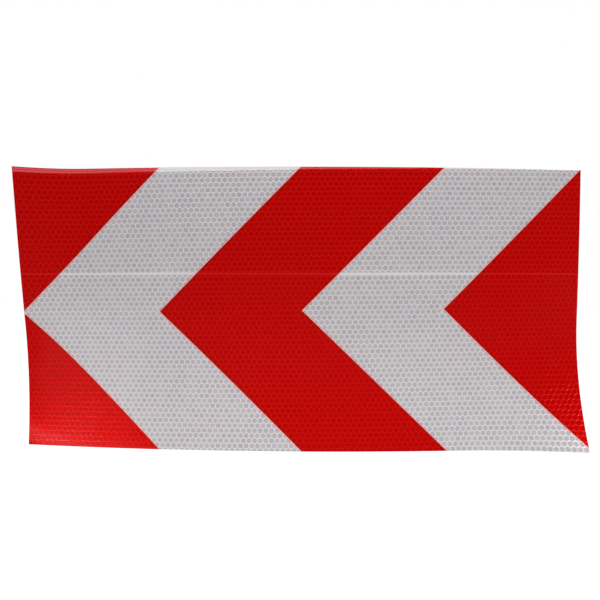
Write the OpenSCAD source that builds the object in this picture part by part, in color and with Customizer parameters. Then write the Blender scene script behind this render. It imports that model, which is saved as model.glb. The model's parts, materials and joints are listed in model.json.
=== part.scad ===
// Chevron sign: one sheet of honeycomb retroreflective film, laid up from thin layers, bowed and curled.
// X runs along the sheet and Z up its height, and the printed face looks towards -Y.
// The origin is on the back of the adhesive, level with the chevrons' points, midway along the sheet.

/* [Sheet] */
// Height of the chevrons' points above the bottom edge, midway along the sheet
point_h = 148; // [120:1:180]
// Height of the top edge above the points
upper_h = 150; // [120:1:200]

/* [Chevrons] */
// Width of a white stripe along the sheet
white_w = 150.5; // [100:0.5:200]
// Width of the red stripe between the white ones
red_w = 151.5; // [100:0.5:200]
// Width of the red triangle at the right edge, level with the points
right_w = 149; // [100:0.5:200]
// How much of the left chevron's point the left edge cuts off
tip_cut = 1.5; // [0:0.5:20]
// Lead of a chevron's point over its end at the bottom edge
point_lead = 150; // [80:1:200]
// Turn of the print on the sheet, in degrees
print_turn = 0.5; // [-3:0.1:3]

/* [Layers] */
// Thickness of the red overlay film
overlay_t = 0.06; // [0.04:0.01:0.3]
// Thickness of the clear face film
face_t = 0.25; // [0.1:0.01:0.6]
// Thickness of the prism film with its sealed air cells
prism_t = 0.2; // [0.1:0.01:0.6]
// Thickness of the white backing film
backing_t = 0.2; // [0.1:0.01:0.6]
// Thickness of the adhesive
adhesive_t = 0.06; // [0.03:0.01:0.2]
// Thickness of the release liner
liner_t = 0.14; // [0.06:0.01:0.4]

/* [Welds] */
// Height of the seam weld's middle above the points
seam_h = 38.8; // [20:0.1:80]
// Width of the seam weld
seam_w = 2; // [1:0.1:6]
// Height of the plain margin at the upper left corner
margin_h = 5.5; // [2:0.5:15]
// Length of the plain margin along the top edge
margin_len = 420; // [100:10:480]

/* [Bow] */
// How far the upper left corner stands forward of the middle of the sheet, before its curl
upper_left_out = -13; // [-60:1:40]
// How far the top edge stands forward at its middle
top_out = 4; // [-60:1:40]
// How far the upper right corner stands forward
upper_right_out = -20; // [-60:1:40]
// How far the left edge stands forward, level with the points
left_out = -27; // [-60:1:40]
// How far the right edge stands forward, level with the points
right_out = -26; // [-60:1:40]
// How far the lower left corner stands forward, before the bottom curl
lower_left_out = -48; // [-60:1:40]
// How far the bottom edge stands forward at its middle, before its curl
bottom_out = -19; // [-60:1:40]
// How far the lower right corner stands forward, before its curls
lower_right_out = -39; // [-60:1:40]

/* [Curls] */
// Width of the left edge that curls forward
left_curl_w = 75; // [20:1:150]
// How far its curl carries the upper left corner forward
left_curl_out = 23; // [0:1:40]
// Height of the bottom edge that curls forward
bottom_curl_h = 135; // [20:1:145]
// How far its curl carries the bottom edge forward
bottom_curl_out = 24; // [0:1:40]
// Width and height of the lower right corner that curls forward
corner_curl_w = 145; // [20:1:145]
// How far its curl carries the lower right corner forward
corner_curl_out = 24; // [0:1:40]

/* [Facets] */
// Facets along the sheet
facets_along = 20; // [8:1:32]
// Facets up the sheet
facets_up = 10; // [4:1:16]

/* [Hidden] */

red = "#b00a0d";
sheet_w = 2 * white_w + red_w + right_w - tip_cut;
left_x = -sheet_w / 2;
right_x = sheet_w / 2;

// Distance from the back of the adhesive forward to the back of each layer
backing_back = adhesive_t;
prism_back = backing_back + backing_t;
face_back = prism_back + prism_t;
overlay_back = face_back + face_t;

// The points of the four stripe borders, from left to right, before the print is turned
first_x = left_x - tip_cut;
points_x = [first_x, first_x + white_w, first_x + white_w + red_w, right_x - right_w];

// Where the plain margin runs out along the top edge
margin_tip_x = left_x + margin_len;

// Cutting outlines run this far past the sheet on every side
past = sheet_w + point_h + upper_h;

// The bow is a smooth patch through the sheet's middle, its corners and the middles of its edges.
// The curls are added to it. Each one grows with the square of the way to its edge.
function blend(a) = [a * (a - 1) / 2, 1 - a * a, a * (a + 1) / 2];
stations = [[lower_left_out, left_out, upper_left_out],
            [bottom_out, 0, top_out],
            [lower_right_out, right_out, upper_right_out]];
function curl(way, reach) = pow(max(0, 1 - way / reach), 2);
function stand_out(x, z) =
    let (up = z + point_h)
    blend(x / right_x) * stations * blend(z / point_h)
    + left_curl_out * curl(x - left_x, left_curl_w) * up / (2 * point_h)
    + bottom_curl_out * curl(up, bottom_curl_h)
    + corner_curl_out * curl(right_x - x, corner_curl_w) * curl(up, corner_curl_w);

// A point of the bowed grid, in column i from the left and row j from the bottom
function grid_point(i, j, forward) =
    let (x = left_x + sheet_w * i / facets_along)
    let (z = -point_h + (upper_h + point_h) * j / facets_up)
    [x, -stand_out(x, z) - forward, z];

// Both triangles of a square of points a, b, c, d
function halves(a, b, c, d) = [[a, b, c], [a, c, d]];

// One layer of film over the whole sheet. Every layer has the same facets, so neighbours lie face to face.
module film(back, thick) {
    column = facets_up + 1;
    layer = column * (facets_along + 1);
    points = [for (forward = [back, back + thick], i = [0 : facets_along], j = [0 : facets_up])
        grid_point(i, j, forward)];
    sides = [for (i = [0 : facets_along - 1], j = [0 : facets_up - 1])
        let (p = i * column + j)
        each concat(halves(p, p + column, p + column + 1, p + 1),
                    halves(layer + p, layer + p + 1, layer + p + column + 1, layer + p + column))];
    ends = [for (j = [0 : facets_up - 1])
        let (q = facets_along * column + j)
        each concat(halves(j, j + 1, layer + j + 1, layer + j),
                    halves(q, layer + q, layer + q + 1, q + 1))];
    rims = [for (i = [0 : facets_along - 1])
        let (p = i * column, q = p + facets_up)
        each concat(halves(p, layer + p, layer + p + column, p + column),
                    halves(q, q + column, layer + q + column, layer + q))];
    polyhedron(points, concat(sides, ends, rims));
}

// The part of a layer that lies behind an outline drawn on the front of the sheet
module cut_film(back, thick) {
    intersection() {
        film(back, thick);
        rotate([90, 0, 0]) linear_extrude(2 * past, center = true) children();
    }
}

// Where a stripe border with its point at x crosses the height z
function border(x, z) = [x + abs(z) * point_lead / point_h, z];

// Height of the plain margin's lower edge at x, and of the seam weld's lower and upper edges
function margin_z(x) = upper_h - margin_h * (margin_tip_x - x) / margin_len;
seam_low = seam_h - seam_w / 2;
seam_high = seam_h + seam_w / 2;

module overlay(outline) {
    color(red) cut_film(overlay_back, overlay_t) rotate(print_turn) polygon(outline);
}

module red_upper_left() {
    x = points_x[0];
    overlay([[x, 0], border(x, past), [-past, past], [-past, 0]]);
}

module red_lower_left() {
    x = points_x[0];
    overlay([[x, 0], border(x, -past), [-past, -past], [-past, 0]]);
}

module red_chevron() {
    front_x = points_x[1];
    back_x = points_x[2];
    overlay([[front_x, 0], border(front_x, past), border(back_x, past),
             [back_x, 0], border(back_x, -past), border(front_x, -past)]);
}

module red_right() {
    x = points_x[3];
    overlay([[x, 0], border(x, past), border(x + past, past), border(x + past, -past), border(x, -past)]);
}

module face_film() {
    color("#c9cac9", 0.5) film(face_back, face_t);
}

module upper_prism_panel() {
    color("#b9bbba") cut_film(prism_back, prism_t) difference() {
        translate([-past, seam_high]) square([2 * past, past]);
        margin();
    }
}

module lower_prism_panel() {
    color("#b9bbba") cut_film(prism_back, prism_t)
        translate([-past, seam_low - past]) square([2 * past, past]);
}

module seam_weld() {
    color("#dcdddc") cut_film(prism_back, prism_t)
        translate([-past, seam_low]) square([2 * past, seam_w]);
}

// The plain wedge along the top edge
module margin() {
    polygon([[-past, margin_z(-past)], [margin_tip_x, upper_h], [margin_tip_x, past], [-past, past]]);
}

module top_edge_weld() {
    color("#e4e2e4") cut_film(prism_back, prism_t) margin();
}

module backing_film() {
    color("#eeeeec") film(backing_back, backing_t);
}

module adhesive_layer() {
    color("#d8d5c4", 0.6) film(0, adhesive_t);
}

module release_liner() {
    color("#e9e6dc") film(-liner_t, liner_t);
}

red_upper_left();
red_lower_left();
red_chevron();
red_right();
face_film();
upper_prism_panel();
lower_prism_panel();
seam_weld();
top_edge_weld();
backing_film();
adhesive_layer();
release_liner();
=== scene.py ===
import json
import math
import random

import bmesh
import bpy
from mathutils import Matrix, Quaternion, Vector

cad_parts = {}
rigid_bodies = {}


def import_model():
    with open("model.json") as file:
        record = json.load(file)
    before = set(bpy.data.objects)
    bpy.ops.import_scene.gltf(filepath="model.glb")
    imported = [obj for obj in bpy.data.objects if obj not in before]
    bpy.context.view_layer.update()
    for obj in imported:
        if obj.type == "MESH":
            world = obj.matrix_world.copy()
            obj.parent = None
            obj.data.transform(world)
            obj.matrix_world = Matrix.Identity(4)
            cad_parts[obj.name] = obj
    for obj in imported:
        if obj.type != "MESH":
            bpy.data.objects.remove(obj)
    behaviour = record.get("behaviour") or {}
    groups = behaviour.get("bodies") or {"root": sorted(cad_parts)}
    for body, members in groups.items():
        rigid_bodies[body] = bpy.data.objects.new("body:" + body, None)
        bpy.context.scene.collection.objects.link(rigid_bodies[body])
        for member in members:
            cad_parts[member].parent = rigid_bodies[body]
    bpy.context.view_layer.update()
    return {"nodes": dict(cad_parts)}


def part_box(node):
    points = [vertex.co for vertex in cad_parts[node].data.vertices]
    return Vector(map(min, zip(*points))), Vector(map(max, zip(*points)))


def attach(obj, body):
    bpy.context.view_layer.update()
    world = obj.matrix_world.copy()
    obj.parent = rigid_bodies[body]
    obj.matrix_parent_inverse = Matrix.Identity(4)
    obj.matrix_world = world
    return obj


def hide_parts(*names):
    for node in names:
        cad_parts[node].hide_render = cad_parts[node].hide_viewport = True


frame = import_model()
print("frame:", len(frame["nodes"]), "CAD nodes")

# the sheet, in metres, in the CAD's frame: the face looks along -Y
sheetLow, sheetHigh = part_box("backing_film")
sheet = {
    "half": sheetHigh.x,
    "below": -sheetLow.z,  # from the chevrons' points down to the bottom edge
    "above": sheetHigh.z,
}

# how far three columns of the sheet stand forward of its middle, at the bottom, level with the points
# and at the top, and how far and wide the curls are that come on top of that
bow = {
    "left": (-0.048, -0.027, -0.013),
    "middle": (-0.019, 0.0, 0.004),
    "right": (-0.039, -0.026, -0.020),
    "leftCurl": 0.023,
    "leftCurlWide": 0.075,
    "bottomCurl": 0.024,
    "bottomCurlHigh": 0.135,
    "cornerCurl": 0.024,
    "cornerCurlWide": 0.145,
}

# distances forward from the back of the adhesive; the cells rise above their film's walls
layers = {
    "linerBack": -0.00014,
    "adhesiveBack": 0.0,
    "backingBack": 0.00006,
    "prismBack": 0.00026,
    "faceBack": 0.00046,
    "faceWall": 0.00059,
    "overlayWall": 0.00065,
}

stripes = {
    "points": (-0.3015, -0.151, 0.0005, 0.151),  # where each red and white border has its point
    "lead": 0.150 / 0.148,  # how far a border runs back for each metre up or down
    "turn": math.radians(0.5),
}

# the weld between the panels, with a pale line along its middle
seam = {"height": 0.0388, "line": 0.0005}

# the plain strip along the top edge: cuts across it as shares of its height, and how pale each one is
margin = {
    "height": 0.0055,
    "length": 0.420,
    "lines": (0.0, 0.14, 0.28, 0.42, 0.54, 0.68, 0.82, 0.92, 1.0),
    "pale": (0.0, 0.6, 1.0, 0.3, 0.3, 1.0, 0.5, 0.0, 0.0),
    "band": 3,  # only faces within this many heights of the top edge are cut
}
marginTip = margin["length"] - sheet["half"]

# the welds behind the face, and the marks that they leave on it: how wide the seam is and how high the
# strip still is at its far end
welds = {"seam": 0.002, "tip": 0.0}
marks = {"seam": 0.0013, "tip": 0.0012}

touch = {"cut": 1e-7, "side": 1e-6}  # nearer than this is on a cut, or on neither side of a line
standUp = Matrix.Rotation(math.pi / 2, 3, "X")


def blend(a):
    return a * (a - 1) / 2, 1 - a * a, a * (a + 1) / 2


def curl(way, reach):
    return max(0, 1 - way / reach) ** 2


def standOut(x, z):
    across = blend(x / sheet["half"])
    up = blend(z / sheet["below"])
    columns = bow["left"], bow["middle"], bow["right"]
    patch = sum(a * sum(u * s for u, s in zip(up, column)) for a, column in zip(across, columns))
    high = z + sheet["below"]
    left = bow["leftCurl"] * curl(x + sheet["half"], bow["leftCurlWide"]) * high / (2 * sheet["below"])
    bottom = bow["bottomCurl"] * curl(high, bow["bottomCurlHigh"])
    wide = bow["cornerCurlWide"]
    corner = bow["cornerCurl"] * curl(sheet["half"] - x, wide) * curl(high, wide)
    return patch + left + bottom + corner


def marginLine(share, shape):  # both ends of a line along the plain strip: share 0 is its foot
    start = sheet["above"] - margin["height"] * (1 - share)
    end = sheet["above"] - shape["tip"] * (1 - share)
    return (-sheet["half"], start), (marginTip, end)


def marginShare(x, z, shape):
    left = (marginTip - x) / margin["length"]
    depth = margin["height"] * left + shape["tip"] * (1 - left)
    return 1 - (sheet["above"] - z) / max(depth, touch["side"])


def marginPale(share):
    lines, pale = margin["lines"], margin["pale"]
    nearest = min(range(len(lines)), key=lambda i: abs(lines[i] - share))
    return pale[nearest]


def regionOf(x, z, shape):
    if abs(z - seam["height"]) < shape["seam"] / 2:
        return "seam"
    if x < marginTip and marginShare(x, z, shape) > 0:
        return "margin"
    return "upper" if z > seam["height"] else "lower"


def stripeOf(x, z):  # 0 at the left corners, then 1 to 4 from the left
    turn = stripes["turn"]
    level = x * math.cos(turn) + z * math.sin(turn)
    height = z * math.cos(turn) - x * math.sin(turn)
    setBack = level - abs(height) * stripes["lead"]
    return sum(setBack > point for point in stripes["points"])


# bmesh steps that the films share
def withParts(faces):
    verts = {v for f in faces for v in f.verts}
    edges = {e for f in faces for e in f.edges}
    return list(verts) + list(edges) + list(faces)


def cutLine(bm, faces, start, end, clear=False):  # clear drops what lies to the left of start to end
    across = Vector((start[1] - end[1], 0, end[0] - start[0]))
    bmesh.ops.bisect_plane(bm, geom=withParts(faces), dist=touch["cut"], plane_co=(start[0], 0, start[1]),
                           plane_no=across.normalized(), clear_outer=clear)


def trimToSheet(bm):
    half, below, above = sheet["half"], sheet["below"], sheet["above"]
    corners = ((half, -below), (-half, -below), (-half, above), (half, above))
    for i, corner in enumerate(corners):
        cutLine(bm, bm.faces[:], corner, corners[(i + 1) % len(corners)], clear=True)


def cutSeam(bm, *widths):
    for wide in widths:
        for height in (seam["height"] - wide / 2, seam["height"] + wide / 2):
            cutLine(bm, bm.faces[:], (-sheet["half"], height), (sheet["half"], height))


def cutMargin(bm, shape):
    lowest = sheet["above"] - margin["band"] * margin["height"]
    for share in margin["lines"][:-1]:
        near = [f for f in bm.faces if f.calc_center_median().z > lowest]
        cutLine(bm, near, *marginLine(share, shape))


def centre(face):
    middle = face.calc_center_median()
    return middle.x, middle.z


def keepFaces(bm, wanted):
    spare = [f for f in bm.faces if not wanted(*centre(f))]
    bmesh.ops.delete(bm, geom=spare, context="FACES")


def thicken(bm, depth):  # closes a flat film with a back; its first faces stay in front
    front = bm.faces[:]
    made = bmesh.ops.extrude_face_region(bm, geom=front)["geom"]
    behind = [g for g in made if isinstance(g, bmesh.types.BMVert)]
    bmesh.ops.translate(bm, verts=behind, vec=(0, depth, 0))
    bmesh.ops.recalc_face_normals(bm, faces=bm.faces[:])
    return front


def bendSheet(bm):
    for v in bm.verts:
        v.co.y -= standOut(v.co.x, v.co.z)


crispAngle = math.radians(4)  # the edges of the cells stay crisp


def layDown(bm, name, node, body, material):
    mesh = bpy.data.meshes.new(name)
    bm.to_mesh(mesh)
    bm.free()
    mesh.shade_smooth()
    mesh.set_sharp_from_angle(angle=crispAngle)
    mesh.materials.append(material)
    piece = bpy.data.objects.new(name, mesh)
    bpy.context.scene.collection.objects.link(piece)
    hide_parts(node)
    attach(piece, body)
    return piece


# shader maths: a Wire is one value in a node tree
class Wire:
    def __init__(self, finish, socket):
        self.finish = finish
        self.socket = socket

    def math(self, operation, *others):
        node = self.finish.node("ShaderNodeMath", {"operation": operation},
                                dict(enumerate((self, *others))))
        return Wire(self.finish, node.outputs[0])

    def __add__(self, other):
        return self.math("ADD", other)

    __radd__ = __add__

    def __mul__(self, other):
        return self.math("MULTIPLY", other)

    __rmul__ = __mul__

    def __sub__(self, other):
        return self.math("SUBTRACT", other)

    def __rsub__(self, other):
        return (self * -1) + other


class Finish:
    def __init__(self, owner):  # a material or a world
        self.owner = owner
        owner.use_nodes = True
        self.tree = owner.node_tree
        self.tree.nodes.clear()

    def node(self, kind, settings, sockets):
        made = self.tree.nodes.new(kind)
        for key, value in settings.items():
            setattr(made, key, value)
        for key, value in sockets.items():
            if isinstance(value, Wire):
                self.tree.links.new(value.socket, made.inputs[key])
            else:
                made.inputs[key].default_value = value
        return made

    def read(self, kind, settings, sockets, output):
        return Wire(self, self.node(kind, settings, sockets).outputs[output])

    def attribute(self, name):
        return self.read("ShaderNodeAttribute", {"attribute_name": name}, {}, "Fac")

    def place(self):
        return self.read("ShaderNodeTexCoord", {}, {}, "Object")

    def noise(self, scale, detail=3.0, output="Fac", stretch=(1, 1, 1)):
        where = self.read("ShaderNodeVectorMath", {"operation": "MULTIPLY"},
                          {0: self.place(), 1: stretch}, "Vector")
        sockets = {"Vector": where, "Scale": scale, "Detail": detail}
        return self.read("ShaderNodeTexNoise", {}, sockets, output)

    def along(self, direction):  # how far a spot lies along a direction
        return self.read("ShaderNodeVectorMath", {"operation": "DOT_PRODUCT"},
                         {0: self.place(), 1: direction}, "Value")

    def mix(self, share, first, second, blend="MIX"):
        sockets = {0: share, 6: first, 7: second}  # the Mix node's factor and its two colours
        return self.read("ShaderNodeMix", {"data_type": "RGBA", "blend_type": blend}, sockets, 2)

    def brighten(self, colour, amount):
        return self.read("ShaderNodeVectorMath", {"operation": "SCALE"},
                         {"Vector": colour, "Scale": amount}, "Vector")

    def bump(self, strength, distance, height):
        sockets = {"Strength": strength, "Distance": distance, "Height": height}
        return self.read("ShaderNodeBump", {}, sockets, "Normal")

    def rays(self):  # 1 for what the camera sees, and 1 for what lights a dull surface
        path = self.node("ShaderNodeLightPath", {}, {})
        return Wire(self, path.outputs["Is Camera Ray"]), Wire(self, path.outputs["Is Diffuse Ray"])

    def surface(self, **sockets):
        named = {key.replace("_", " "): value for key, value in sockets.items()}
        shader = self.read("ShaderNodeBsdfPrincipled", {}, named, "BSDF")
        self.node("ShaderNodeOutputMaterial", {}, {"Surface": shader})
        return self.owner


def newFinish(name):
    return Finish(bpy.data.materials.new(name))


def least(wires):
    smallest = wires[0]
    for wire in wires[1:]:
        smallest = smallest.math("MINIMUM", wire)
    return smallest


def prismRelief(finish, pitch):  # three sets of grooves at 60 degrees leave three-sided prisms
    ridges = []
    for turn in (0, 60, 120):
        lean = math.radians(turn)
        run = finish.along((math.cos(lean) / pitch, 0, math.sin(lean) / pitch))
        ridges.append((run.math("FRACT") - 0.5).math("ABSOLUTE"))
    return least(ridges)


def borderShade(finish, reach):  # painted shade: 1 on a border of the stripes, 0 beyond its reach, where the film's colour is darkened
    turn = stripes["turn"]
    level = finish.along((math.cos(turn), 0, math.sin(turn)))
    height = finish.along((-math.sin(turn), 0, math.cos(turn))).math("ABSOLUTE")
    setBack = level - height * stripes["lead"]
    gap = least([(setBack - point).math("ABSOLUTE") for point in stripes["points"]])
    return (1 - gap * (1 / (reach * math.hypot(1, stripes["lead"])))).math("MAXIMUM", 0)


# the red overlays and the bare face film: a glossy coat over a slightly metallic film of tiny prisms
filmLook = {
    "prismPitch": 0.00028,
    "prismDepth": 0.00005,
    "prismBump": 0.15,
    "cloudScale": 9.0,
    "cloud": 0.05,
    "tintScale": 260.0,
    "tintDetail": 1.0,
    "roughness": 0.3,
    "metallic": 0.35,
    "coatRoughness": 0.12,
    "coatIor": 1.2,
}
redLook = {
    "cell": (0.465, 0.0003, 0.0002, 1),
    "wall": (0.53, 0.005, 0.004, 1),
    "weld": (0.86, 0.13, 0.14, 1),
    # "edge" is painted shade: the red is darkened along its borders with the white
    "edge": (0.68, 2.0, 2.0, 1),
    "edgeReach": 0.0028,
    "tint": 0.0,
    "toneSpread": 0.035,
}
whiteLook = {
    "cell": (0.455, 0.425, 0.445, 1),
    "wall": (0.665, 0.63, 0.655, 1),
    "weld": (0.90, 0.89, 0.90, 1),
    # "edge" is painted shade: the white is darkened and tinted pink along its borders with the red
    "edge": (1.3, 0.66, 0.58, 1),
    "edgeReach": 0.0024,
    "tint": 0.08,
    "toneSpread": 0.06,
}


def filmFinish(name, look):
    finish = newFinish(name)
    cell = finish.attribute("cell")
    colour = finish.mix(cell, look["wall"], look["cell"])
    specks = finish.noise(filmLook["tintScale"], filmLook["tintDetail"], "Color")
    colour = finish.mix(cell * look["tint"], colour, specks)
    colour = finish.mix(finish.attribute("weld"), colour, look["weld"])
    # painted shade along the stripe borders, multiplied into the colour
    colour = finish.mix(borderShade(finish, look["edgeReach"]), colour, look["edge"], "MULTIPLY")
    cloud = (finish.noise(filmLook["cloudScale"]) - 0.5) * filmLook["cloud"]
    tone = finish.attribute("tone") * look["toneSpread"]
    colour = finish.brighten(colour, 1 + cloud + tone)
    prisms = prismRelief(finish, filmLook["prismPitch"]) * cell
    bump = finish.bump(filmLook["prismBump"], filmLook["prismDepth"], prisms)
    return finish.surface(Base_Color=colour, Roughness=filmLook["roughness"], Metallic=filmLook["metallic"],
                          Normal=bump, Coat_Weight=1.0, Coat_Roughness=filmLook["coatRoughness"],
                          Coat_IOR=filmLook["coatIor"], Specular_IOR_Level=0.0)


redFilm = filmFinish("redFilm", redLook)
whiteFilm = filmFinish("whiteFilm", whiteLook)
print("film finishes made")

# the layers behind the face: grain, wider patches, and streaks along the roll, as shares of the mottle
mottleLook = {
    "grain": 0.3,
    "grainDetail": 5.0,
    "patches": 0.4,
    "patchWide": 12,
    "streaks": 0.3,
    "streakWide": 2,
    "streakLong": (0.04, 1, 1),
    "softDetail": 2.0,
    "contrast": 1.6,
    "darker": 0.3,
    "bump": 0.25,
    "depth": 0.00005,
    "roughSpread": 0.3,
    "coatRoughness": 0.2,
}
prismLook = {"dark": (0.52, 0.52, 0.53, 1), "pale": (0.68, 0.68, 0.69, 1), "scale": 900.0,
             "roughness": 0.35, "coat": 0.0}
weldLook = {"dark": (0.72, 0.72, 0.73, 1), "pale": (0.83, 0.83, 0.83, 1), "scale": 500.0,
            "roughness": 0.4, "coat": 0.0}
backingLook = {"dark": (0.78, 0.78, 0.77, 1), "pale": (0.88, 0.88, 0.87, 1), "scale": 300.0,
               "roughness": 0.45, "coat": 0.0}
adhesiveLook = {"dark": (0.60, 0.58, 0.50, 1), "pale": (0.76, 0.74, 0.66, 1), "scale": 140.0,
                "roughness": 0.22, "coat": 0.6}
linerLook = {"dark": (0.70, 0.67, 0.58, 1), "pale": (0.90, 0.88, 0.80, 1), "scale": 240.0,
             "roughness": 0.4, "coat": 0.25}


def mottledFinish(name, look):
    finish = newFinish(name)
    scale, soft = look["scale"], mottleLook["softDetail"]
    grain = finish.noise(scale, mottleLook["grainDetail"])
    patches = finish.noise(scale / mottleLook["patchWide"], soft)
    streaks = finish.noise(scale / mottleLook["streakWide"], soft, stretch=mottleLook["streakLong"])
    mottle = (mottleLook["grain"] * grain + mottleLook["patches"] * patches
              + mottleLook["streaks"] * streaks)
    share = mottleLook["contrast"] * mottle - mottleLook["darker"]
    roughness = look["roughness"] + mottleLook["roughSpread"] * (patches - 0.5)
    bump = finish.bump(mottleLook["bump"], mottleLook["depth"], grain + streaks)
    return finish.surface(Base_Color=finish.mix(share, look["dark"], look["pale"]), Roughness=roughness,
                          Normal=bump, Coat_Weight=look["coat"],
                          Coat_Roughness=mottleLook["coatRoughness"])


prismFilm = mottledFinish("prismFilm", prismLook)
weldFilm = mottledFinish("weldFilm", weldLook)
backingWhite = mottledFinish("backingWhite", backingLook)
adhesiveClear = mottledFinish("adhesiveClear", adhesiveLook)
linerPaper = mottledFinish("linerPaper", linerLook)
print("plain finishes made")


# plain films, from a grid cut to the sheet; "part" is the region that a film keeps
plainGrid = {"columns": 60, "rows": 32}
plainPieces = (
    {"name": "upperPrismPanel", "node": "upper_prism_panel", "slot": "prism_film", "body": "film",
     "finish": prismFilm, "back": "prismBack", "front": "faceBack", "part": "upper"},
    {"name": "lowerPrismPanel", "node": "lower_prism_panel", "slot": "prism_film", "body": "film",
     "finish": prismFilm, "back": "prismBack", "front": "faceBack", "part": "lower"},
    {"name": "seamWeld", "node": "seam_weld", "slot": "weld", "body": "film",
     "finish": weldFilm, "back": "prismBack", "front": "faceBack", "part": "seam"},
    {"name": "topEdgeWeld", "node": "top_edge_weld", "slot": "weld", "body": "film",
     "finish": weldFilm, "back": "prismBack", "front": "faceBack", "part": "margin"},
    {"name": "backingFilm", "node": "backing_film", "slot": "backing", "body": "film",
     "finish": backingWhite, "back": "backingBack", "front": "prismBack", "part": None},
    {"name": "adhesiveLayer", "node": "adhesive_layer", "slot": "adhesive", "body": "film",
     "finish": adhesiveClear, "back": "adhesiveBack", "front": "backingBack", "part": None},
    {"name": "releaseLiner", "node": "release_liner", "slot": "liner", "body": "liner",
     "finish": linerPaper, "back": "linerBack", "front": "adhesiveBack", "part": None},
)


def plainFilm(back, front, part):
    bm = bmesh.new()
    bmesh.ops.create_grid(bm, x_segments=plainGrid["columns"], y_segments=plainGrid["rows"], size=1)
    tall = sheet["above"] + sheet["below"]
    bmesh.ops.scale(bm, verts=bm.verts, vec=(sheet["half"], tall / 2, 1))
    bmesh.ops.translate(bm, verts=bm.verts, vec=(0, tall / 2 - sheet["below"], front))
    bmesh.ops.rotate(bm, verts=bm.verts, cent=(0, 0, 0), matrix=standUp)
    if part:
        cutSeam(bm, welds["seam"])
        cutMargin(bm, welds)
        keepFaces(bm, lambda x, z: regionOf(x, z, welds) == part)
    thicken(bm, front - back)
    bendSheet(bm)
    return bm


for plan in plainPieces:
    film = plainFilm(layers[plan["back"]], layers[plan["front"]], plan["part"])
    layDown(film, plan["name"], plan["node"], plan["body"], plan["finish"])
print("plain films laid:", len(plainPieces))


# the honeycomb face: one flat comb of hexagons, cut to the sheet, the stripes and the welds
comb = {
    "pitch": 0.005974,
    "turn": math.radians(0.47),
    "cell": (0.00019, 0.00273),  # a cell's middle in the lower panel
    "step": -0.00137,  # how far the upper panel's cells lie along from the lower panel's
    "wall": 0.0009,  # width of the flat walls between cells
    "shoulder": 0.0003,
    "rise": 0.0001,
    "crown": 0.00002,
    "smallest": 0.0004,  # a cut cell with less area for its edge than this stays flat
    "leastShare": 0.1,  # a cell shrinks to no less than this
    "spareColumns": 4,  # past the sheet, before it is trimmed
    "sparePairs": 3,
    "merge": 0.01,  # corners closer than this share of the pitch are one
    "seed": 11,
}


def repeat(bm, step, count):
    bmesh.ops.spin(bm, geom=bm.verts[:] + bm.edges[:] + bm.faces[:], cent=(0, 0, 0), axis=(0, 0, 1),
                   dvec=step, angle=0, steps=count, use_duplicate=True)


def flatComb():
    bm = bmesh.new()
    pitch = comb["pitch"]
    row = pitch * math.sqrt(3) / 2
    tall = sheet["below"] + sheet["above"]
    columns = math.ceil(2 * sheet["half"] / pitch) + comb["spareColumns"]
    pairs = math.ceil(tall / (2 * row)) + comb["sparePairs"]
    bmesh.ops.create_circle(bm, cap_ends=True, segments=6, radius=pitch / math.sqrt(3))
    repeat(bm, (pitch, 0, 0), columns)
    repeat(bm, (pitch / 2, row, 0), 1)
    repeat(bm, (0, 2 * row, 0), pairs)
    bmesh.ops.remove_doubles(bm, verts=bm.verts, dist=pitch * comb["merge"])
    first = (-pitch * (columns // 2), -row * 2 * (pairs // 2), 0)
    bmesh.ops.translate(bm, verts=bm.verts, vec=first)
    bmesh.ops.rotate(bm, verts=bm.verts, cent=(0, 0, 0), matrix=Matrix.Rotation(comb["turn"], 3, "Z"))
    bmesh.ops.translate(bm, verts=bm.verts, vec=(*comb["cell"], 0))
    bmesh.ops.rotate(bm, verts=bm.verts, cent=(0, 0, 0), matrix=standUp)
    cutSeam(bm, marks["seam"], seam["line"])
    aboveSeam = seam["height"] + marks["seam"] / 2 + touch["side"]
    upper = [v for v in bm.verts if v.co.z > aboveSeam]
    bmesh.ops.translate(bm, verts=upper, vec=(comb["step"], 0, 0))
    return bm


def cutStripes(bm):
    turn = stripes["turn"]
    reach = sheet["half"] + sheet["below"] + sheet["above"]
    level = Vector((math.cos(turn), math.sin(turn)))
    plumb = Vector((-math.sin(turn), math.cos(turn)))

    def height(v):  # above the line of the points
        return Vector((v.co.x, v.co.z)).dot(plumb)

    for point in stripes["points"]:
        tip = level * point
        for side in (-1, 1):
            end = tip + reach * (level * stripes["lead"] + plumb * side)
            half = [f for f in bm.faces if any(side * height(v) > touch["side"] for v in f.verts)]
            cutLine(bm, half, tip, end)


def shrink(face, inset, lift):  # an even inset that a cut cell can't turn inside out
    middle = face.calc_center_median()
    reach = 2 * face.calc_area() / face.calc_perimeter()
    share = max(1 - inset / reach, comb["leastShare"])
    for v in face.verts:
        v.co = middle + (v.co - middle) * share
        v.co.y -= lift


def markWelds(front, weld, pale):  # marks the seam and the plain strip, and gives the faces left for cells
    cells = []
    for f in front:
        region = regionOf(*centre(f), marks)
        if region == "seam":
            for v in f.verts:
                if abs(v.co.z - seam["height"]) < seam["line"]:
                    v[weld] = max(v[weld], pale)
        elif region == "margin":
            for v in f.verts:
                v[weld] = max(v[weld], marginPale(marginShare(v.co.x, v.co.z, marks)))
        elif f.calc_area() / f.calc_perimeter() > comb["smallest"]:
            cells.append(f)
    return cells


def emboss(bm, cells, dice):
    cell = bm.verts.layers.float["cell"]
    tone = bm.verts.layers.float["tone"]
    for inset, lift in ((comb["wall"] / 2, 0), (comb["shoulder"], comb["rise"])):
        bmesh.ops.inset_individual(bm, faces=cells, thickness=0, depth=0)
        for f in cells:
            shrink(f, inset, lift)
    for f in cells:
        shade = dice.uniform(-1, 1)
        for v in f.verts:
            v[cell] = 1.0
            v[tone] = shade
    bmesh.ops.poke(bm, faces=cells, offset=comb["crown"])


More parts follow.
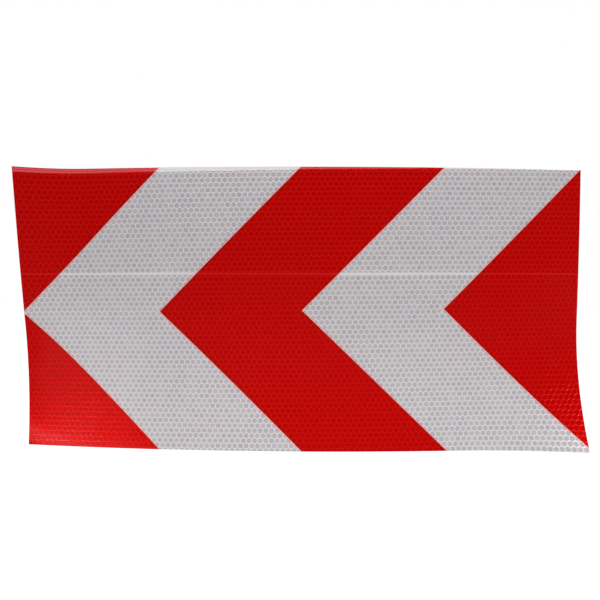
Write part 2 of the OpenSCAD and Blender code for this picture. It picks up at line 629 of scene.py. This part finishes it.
def inLeftCorner(side):
    return lambda x, z: stripeOf(x, z) == 0 and side * z > 0


def inStripe(number):
    return lambda x, z: stripeOf(x, z) == number


def inWhite(x, z):
    return stripeOf(x, z) in (1, 3)


# "shown" is where a film has its cells; an overlay is cut to that, and the face film runs on behind it
facePieces = (
    {"name": "redUpperLeft", "node": "red_upper_left", "slot": "red_film", "finish": redFilm,
     "back": "faceWall", "front": "overlayWall", "shown": inLeftCorner(1), "cut": True, "seamPale": 0.05},
    {"name": "redLowerLeft", "node": "red_lower_left", "slot": "red_film", "finish": redFilm,
     "back": "faceWall", "front": "overlayWall", "shown": inLeftCorner(-1), "cut": True, "seamPale": 0.05},
    {"name": "redChevron", "node": "red_chevron", "slot": "red_film", "finish": redFilm,
     "back": "faceWall", "front": "overlayWall", "shown": inStripe(2), "cut": True, "seamPale": 0.05},
    {"name": "redRight", "node": "red_right", "slot": "red_film", "finish": redFilm,
     "back": "faceWall", "front": "overlayWall", "shown": inStripe(4), "cut": True, "seamPale": 0.05},
    {"name": "faceFilm", "node": "face_film", "slot": "clear_film", "finish": whiteFilm,
     "back": "faceBack", "front": "faceWall", "shown": inWhite, "cut": False, "seamPale": 0.17},
)


def combFilm(whole, plan, dice):
    bm = whole.copy()
    if plan["cut"]:
        keepFaces(bm, plan["shown"])
    back, front = layers[plan["back"]], layers[plan["front"]]
    bmesh.ops.translate(bm, verts=bm.verts, vec=(0, -front, 0))
    faces = [f for f in thicken(bm, front - back) if plan["shown"](*centre(f))]
    cells = markWelds(faces, bm.verts.layers.float["weld"], plan["seamPale"])
    emboss(bm, cells, dice)
    print("  ", plan["name"], "cells:", len(cells), "faces:", len(bm.faces))
    bendSheet(bm)
    return bm


wholeComb = flatComb()
trimToSheet(wholeComb)
cutMargin(wholeComb, marks)
cutStripes(wholeComb)
for layerName in ("cell", "weld", "tone"):
    wholeComb.verts.layers.float.new(layerName)
print("comb cut:", len(wholeComb.faces), "faces")
toneDice = random.Random(comb["seed"])
for plan in facePieces:
    film = combFilm(wholeComb, plan, toneDice)
    layDown(film, plan["name"], plan["node"], "film", plan["finish"])
wholeComb.free()
print("face films laid:", len(facePieces))


# floor, studio light and camera
floorLook = {
    "half": 4.0,
    "squares": 8,
    "drop": 0.0006,  # below the sheet's bottom edge
    "colour": (0.1, 0.1, 0.1, 1),
    "roughness": 0.9,
    "glow": 0.97,  # what the camera sees of it
    "fill": 0.5,  # what it gives to dull surfaces
}


def layFloor():
    bm = bmesh.new()
    squares = floorLook["squares"]
    bmesh.ops.create_grid(bm, x_segments=squares, y_segments=squares, size=floorLook["half"])
    bmesh.ops.translate(bm, verts=bm.verts, vec=(0, 0, -sheet["below"] - floorLook["drop"]))
    mesh = bpy.data.meshes.new("floor")
    bm.to_mesh(mesh)
    bm.free()
    finish = newFinish("floorPale")
    seen, scattered = finish.rays()
    glow = finish.brighten((1, 1, 1), seen * floorLook["glow"] + scattered * floorLook["fill"])
    mesh.materials.append(finish.surface(Base_Color=floorLook["colour"], Roughness=floorLook["roughness"],
                                         Emission_Color=glow, Emission_Strength=1.0))
    floor = bpy.data.objects.new("floor", mesh)
    bpy.context.scene.collection.objects.link(floor)


# white behind the sheet, an even fill on it, and little to mirror in its gloss
worldLook = {"colour": (1, 1, 1, 1), "seen": 1.0, "fill": 0.68, "mirrored": 0.08}


def lightWorld():
    world = bpy.data.worlds.new("studio")
    bpy.context.scene.world = world
    finish = Finish(world)
    seen, scattered = finish.rays()
    dim = worldLook["mirrored"]
    level = dim + scattered * (worldLook["fill"] - dim) + seen * (worldLook["seen"] - dim)
    sky = finish.read("ShaderNodeBackground", {}, {"Color": worldLook["colour"], "Strength": level},
                      "Background")
    finish.node("ShaderNodeOutputWorld", {}, {"Surface": sky})


# a "gloss" light shows only in the gloss, a "fill" only lights the dull film, and "both" does both;
# "only" keeps a light to one film, and "roll" turns it about its aim, in degrees
lowerLeft = (-0.26, 0.02, -0.13)
softboxes = (
    {"name": "keyBox", "role": "both", "watts": 101.0, "size": (4.6, 1.0),
     "place": (0.15, -1.25, 2.7), "aim": (0, 0, 0)},
    {"name": "tipBox", "role": "gloss", "watts": 5.2, "size": (0.2, 0.64),
     "place": (0.497, -0.827, 1.149), "aim": (0.285, 0, -0.1), "only": "redRight"},
    {"name": "leftBox", "role": "gloss", "watts": 9.0, "size": (0.5, 0.17),
     "place": (-1.219, -0.508, 0.465), "aim": lowerLeft, "roll": 41, "only": "redLowerLeft"},
    {"name": "leftLamp", "role": "gloss", "watts": 11.0, "size": (0.72, 0.18),
     "place": (-0.663, -1.035, 0.67), "aim": lowerLeft, "roll": 35, "only": "redLowerLeft"},
    {"name": "lowCard", "role": "gloss", "watts": 0.12, "size": (0.4, 0.1),
     "place": (-1.12, -0.98, -0.09), "aim": lowerLeft, "only": "redLowerLeft"},
    {"name": "nearCard", "role": "gloss", "watts": 0.029, "size": (0.26, 0.014),
     "place": (-0.33, -0.08, -0.1415), "aim": (-0.23, 0.03, -0.1415), "only": "redLowerLeft"},
    {"name": "leftCard", "role": "gloss", "watts": 0.026, "size": (0.2, 0.052),
     "place": (-0.455, -0.3, -0.121), "aim": (-0.24, 0, -0.1)},
    {"name": "frontFill", "role": "fill", "watts": 0.58, "size": (0.8, 0.03),
     "place": (0.05, -0.35, -0.13), "aim": (0.05, 0, -0.1)},
    {"name": "leftFill", "role": "fill", "watts": 0.03, "size": (0.2, 0.016),
     "place": (-0.30, -0.10, -0.138), "aim": (-0.26, 0.02, -0.138)},
    {"name": "upperFill", "role": "fill", "watts": 0.5, "size": (0.4, 0.4),
     "place": (-0.45, -0.75, 0.45), "aim": (-0.15, 0, 0.1)},
    {"name": "backBox", "role": "both", "watts": 15.0, "size": (1.4, 0.9),
     "place": (-0.7, 1.6, 1.3), "aim": (0, 0, 0)},
    {"name": "rightFill", "role": "fill", "watts": 0.75, "size": (0.3, 0.15),
     "place": (0.75, -0.45, -0.05), "aim": (0.2, 0, -0.05)},
)


def hangSoftbox(box):
    light = bpy.data.lights.new(box["name"], "AREA")
    light.shape = "RECTANGLE"
    light.size, light.size_y = box["size"]
    light.energy = box["watts"]
    lamp = bpy.data.objects.new(box["name"], light)
    lamp.location = box["place"]
    lamp.rotation_mode = "QUATERNION"
    facing = (Vector(box["aim"]) - Vector(box["place"])).to_track_quat("-Z", "Y")
    lamp.rotation_quaternion = facing @ Quaternion((0, 0, 1), math.radians(box.get("roll", 0)))
    lamp.visible_camera = False
    lamp.visible_glossy = box["role"] != "fill"
    lamp.visible_diffuse = box["role"] != "gloss"
    if "only" in box:
        chosen = bpy.data.collections.new(box["name"])
        chosen.objects.link(bpy.data.objects[box["only"]])
        lamp.light_linking.receiver_collection = chosen
    bpy.context.scene.collection.objects.link(lamp)


cameraLook = {
    "lens": 38.4,
    "sensor": 36.0,
    "nearest": 0.01,
    "place": (0.0045, -0.6738, 0.0256),
    "turn": (88.764, 0.025, 0.509),
}


def setCamera():
    data = bpy.data.cameras.new("photoCamera")
    data.sensor_width = cameraLook["sensor"]
    data.lens = cameraLook["lens"]
    data.clip_start = cameraLook["nearest"]
    camera = bpy.data.objects.new("photoCamera", data)
    camera.location = cameraLook["place"]
    camera.rotation_euler = [math.radians(angle) for angle in cameraLook["turn"]]
    bpy.context.scene.collection.objects.link(camera)
    bpy.context.scene.camera = camera


layFloor()
lightWorld()
for box in softboxes:
    hangSoftbox(box)
setCamera()
bpy.context.scene.view_settings.view_transform = "Standard"
print("stage, lights and camera set")
